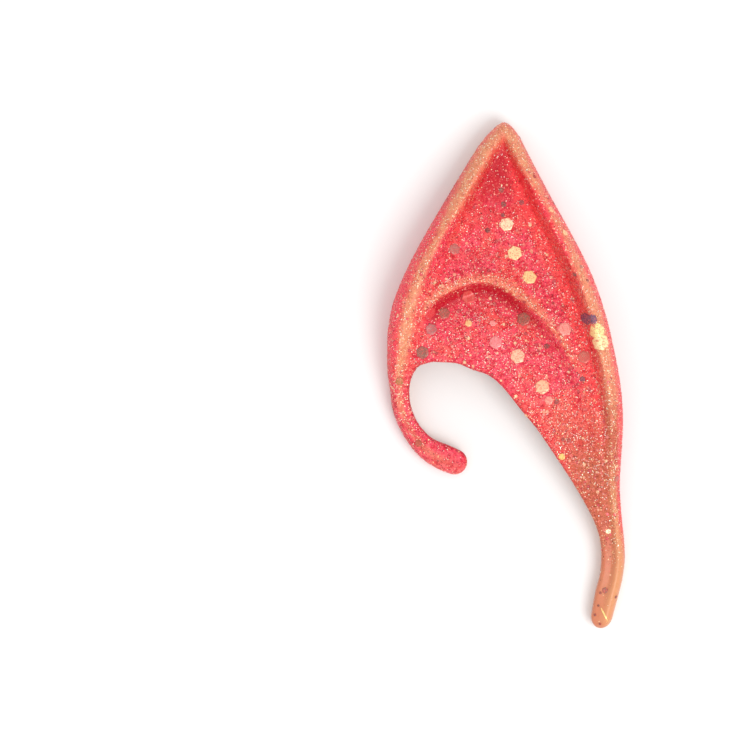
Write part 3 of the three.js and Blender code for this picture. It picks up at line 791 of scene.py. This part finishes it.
# Each row gives x and y from the middle of the ear tip and the size from corner to corner, in millimetres,
# the turn in degrees, how narrow the hexagon is as a share, and the film's colour.
hexagon_rows = np.array([
    [0.0, 35.7, 3.4, 12, 1, 253, 222, 180],
    [1.9, 28.9, 3.6, 40, 1, 252, 216, 158],
    [5.4, 23.2, 3.6, 5, 1, 251, 214, 146],
    [21.1, 10.4, 4.0, 20, 1, 253, 236, 160],
    [21.9, 7.8, 4.1, 48, 1, 252, 232, 172],
    [2.6, 4.5, 3.6, 15, 1, 248, 190, 156],
    [8.4, -2.7, 3.6, 35, 1, 247, 186, 146],
    [13.7, 10.9, 3.4, 8, 1, 240, 150, 138],
    [-2.6, 7.8, 3.2, 30, 1, 232, 132, 136],
    [9.9, -5.9, 2.2, 0, 1, 238, 150, 135],
    [18.6, 13.3, 3.2, 25, 1, 70, 56, 92],
    [20.1, 13.2, 2.5, 50, 1, 98, 70, 104],
    [-19.9, 5.4, 3.2, 33, 1, 134, 78, 68],
    [-14.7, 14.7, 2.8, 10, 1, 150, 76, 64],
    [4.0, 13.3, 3.3, 22, 1, 138, 66, 52],
    [-17.8, 10.9, 2.9, 44, 1, 172, 88, 92],
    [-9.0, 18.5, 3.4, 14, 1, 208, 52, 52],
    [-18.0, 14.7, 3.1, 52, 1, 216, 46, 62],
    [-12.3, 29.8, 2.8, 18, 1, 172, 88, 84],
    [18.2, 4.3, 3.2, 38, 1, 192, 84, 74],
    [-9.0, 12.3, 1.8, 20, 1, 246, 190, 126],
    [13.7, 33.6, 1.6, 10, 1, 250, 204, 150],
    [10.4, 39.1, 1.7, 33, 1, 246, 188, 138],
    [-3.3, 12.3, 1.6, 5, 1, 242, 148, 144],
    [-0.7, 40.5, 1.4, 12, 1, 112, 44, 48],
    [-4.5, 34.3, 1.3, 27, 1, 112, 40, 44],
    [15.8, 23.7, 1.1, 8, 1, 112, 90, 84],
    [17.4, 25.6, 1.0, 41, 1, 176, 120, 104],
    [18.9, 22.4, 0.8, 20, 1, 110, 30, 40],
    [9.5, 6.9, 1.4, 16, 1, 108, 34, 44],
    [17.8, -0.9, 1.4, 29, 1, 112, 60, 80],
    [11.8, -6.2, 1.3, 3, 1, 136, 56, 56],
    [-25.3, -1.4, 2.1, 24, 1, 156, 106, 48],
    [-20.8, -16.1, 1.8, 12, 1, 166, 78, 52],
    [23.4, -50.9, 1.5, 18, 1, 146, 94, 78],
    [24.1, -36.9, 1.4, 35, 1, 255, 234, 190],
    [26.0, -24.4, 1.5, 9, 1, 170, 84, 76],
    [13.0, -19.2, 1.7, 21, 1, 250, 200, 112],
    [-0.9, 37.9, 1.0, 21, 1, 120, 52, 60],
    [3.6, 40.9, 1.3, 21, 1, 150, 44, 58],
    [-1.2, 43.8, 1.3, 21, 1, 130, 60, 56],
    [13.3, -15.1, 1.0, 14, 1, 150, 60, 54],
    [14.7, -15.4, 1.0, 14, 1, 160, 70, 64],
    [26.0, -52.5, 0.8, 10, 1, 120, 50, 40],
    [22.3, -51.5, 0.7, 30, 1, 140, 70, 56],
    [21.8, -54.5, 0.6, 0, 1, 120, 56, 44],
    [21.0, -56.7, 0.7, 20, 1, 104, 40, 36],
    [22.2, -58.9, 0.7, 45, 1, 112, 44, 40],
    [23.2, -56.6, 4.2, -63, 0.1, 255, 226, 140],
])
hexagon_step = np.arange(12)  # corners and middles of sides by turns
hexagon_turn = hexagon_step * np.pi / 6
hexagon_reach = np.where(hexagon_step % 2, np.cos(np.pi / 6), 1.0)
# Each ring's reach, as a share of the outline's, and its height, in half films.
hexagon_rings = np.array([[0, 1], [0.33, 1], [0.67, 1], [0.97, 1], [1, 0.5], [0.97, -1], [0, -1]])
front_points = rings[:, :front_count].reshape(-1, 3)
front_slope = np.cross(np.gradient(rings, axis=0), np.gradient(rings, axis=1))[:, :front_count].reshape(-1, 3)


def laid(plan):
    """Height of the front at places in plan: that of the nearest vertex, and on from there by its slope."""
    away = plan[:, None] - front_points[:, :2]
    near = (away ** 2).sum(axis=2).argmin(axis=1)
    slope = front_slope[near]
    step = away[np.arange(len(plan)), near]
    rise = -(slope[:, 0] * step[:, 0] + slope[:, 1] * step[:, 1]) / slope[:, 2]
    return front_points[near, 2] + np.clip(rise, -most_off, most_off)


def plate(x, y, across, turn, narrow):
    """A thin hexagon on the front, in rings from the middle of its top to the middle of its underside. It
    starts in the plane that fits the skin under it best, no steeper than steepest, bends part of the way
    towards the skin, and rises until it rests on the skin's highest part there."""
    outline = np.stack([np.cos(hexagon_turn), np.sin(hexagon_turn) * narrow], axis=1) * hexagon_reach[:, None]
    cosine, sine = np.cos(np.radians(turn)), np.sin(np.radians(turn))
    outline = outline @ np.array([[cosine, sine], [-sine, cosine]]) * across / 2
    flat = (outline * hexagon_rings[:, :1, None]).reshape(-1, 2)
    skin = laid(np.array([x, y]) + flat)
    level, *slopes = np.linalg.lstsq(np.column_stack([np.ones(len(flat)), flat]), skin, rcond=None)[0]
    slope_x, slope_y = np.clip(slopes, -steepest, steepest)
    aside = unit(np.array([1, 0, slope_x]))
    ahead = np.cross(unit(np.array([-slope_x, -slope_y, 1])), aside)
    points = np.array([x, y, level]) + flat[:, :1] * aside + flat[:, 1:] * ahead
    gap = laid(points[:, :2]) - points[:, 2]
    above = np.repeat(hexagon_rings[:, 1], len(outline)) * half_film
    points[:, 2] += mix(gap.max(), gap, bend_share) + above
    return pole_rows(points.reshape(len(hexagon_rings), len(outline), 3))


hexagons = [plate(*row[:3] * mm, *row[3:5]) for row in hexagon_rows]
hexagon_faces = closed_faces(len(hexagon_rings), len(hexagon_step))
each = len(hexagons[0])
all_faces = [[each * i + v for v in face] for i in range(len(hexagons)) for face in hexagon_faces]
broad_hexagons = add_piece("broad_hexagons", np.concatenate(hexagons), all_faces,
                           film_material("broad_film", 0.15, 0.75))
hexagon_colours = np.array([linear(*row[5:]) for row in hexagon_rows])
add_film(broad_hexagons, np.repeat(hexagon_colours, each, axis=0).astype(np.float32))

# The floor, a plain white table top that the ear tip lies on.
floor_mesh = bpy.data.meshes.new("floor")
half_floor = 1.5
floor_corners = [(-1, -1, 0), (1, -1, 0), (1, 1, 0), (-1, 1, 0)]
floor_mesh.from_pydata(np.array(floor_corners) * half_floor, [], [(0, 1, 2, 3)])
floor = bpy.data.objects.new("floor", floor_mesh)
bpy.context.scene.collection.objects.link(floor)
floor_material, floor_tree, floor_shader = new_material("white_table")
floor_place = node_in(floor_tree, "ShaderNodeTexCoord").outputs["Object"]
floor_colour = blended(floor_tree, noise(floor_tree, floor_place, 12), (0.87, 0.87, 0.87, 1),
                       (0.89, 0.89, 0.89, 1))
floor_tree.links.new(floor_colour, floor_shader.inputs["Base Color"])
floor_shader.inputs["Roughness"].default_value = 0.7
floor_mesh.materials.append(floor_material)

# The light is a soft room: a wide lamp above on the tail's side, and an even glow all round. The camera
# looks straight down, with the ear tip in the right half of its square view.
world = bpy.data.worlds.new("room")
bpy.context.scene.world = world
world.use_nodes = True
background = world.node_tree.nodes["Background"]
background.inputs["Color"].default_value = (1.0, 0.99, 0.98, 1.0)
background.inputs["Strength"].default_value = 0.93


def add_lamp(name, place, aim, size, power):
    """A square lamp at a place, turned towards an aim."""
    light = bpy.data.lights.new(name, "AREA")
    light.size = size
    light.energy = power
    lamp = bpy.data.objects.new(name, light)
    lamp.location = place
    direction = np.array(aim) - np.array(place)
    lamp.rotation_euler = (float(np.arctan2(np.hypot(direction[0], direction[1]), -direction[2])), 0,
                           float(np.arctan2(-direction[0], direction[1])))
    bpy.context.scene.collection.objects.link(lamp)


add_lamp("key", (0.33, -0.28, 0.7), (0, 0, 0), 0.48, 3.5)

view_width = 750 * 0.2367 * mm  # the width that the view takes in at the outline's height
outline_height = 6 * mm
camera_height = 1.4
camera_data = bpy.data.cameras.new("camera")
camera_data.sensor_width = 36
camera_data.lens = camera_data.sensor_width * (camera_height - outline_height) / view_width
camera = bpy.data.objects.new("camera", camera_data)
camera.location = (-31.1 * mm, 0.1 * mm, camera_height)
bpy.context.scene.collection.objects.link(camera)
bpy.context.scene.camera = camera
bpy.context.scene.view_settings.view_transform = "Standard"
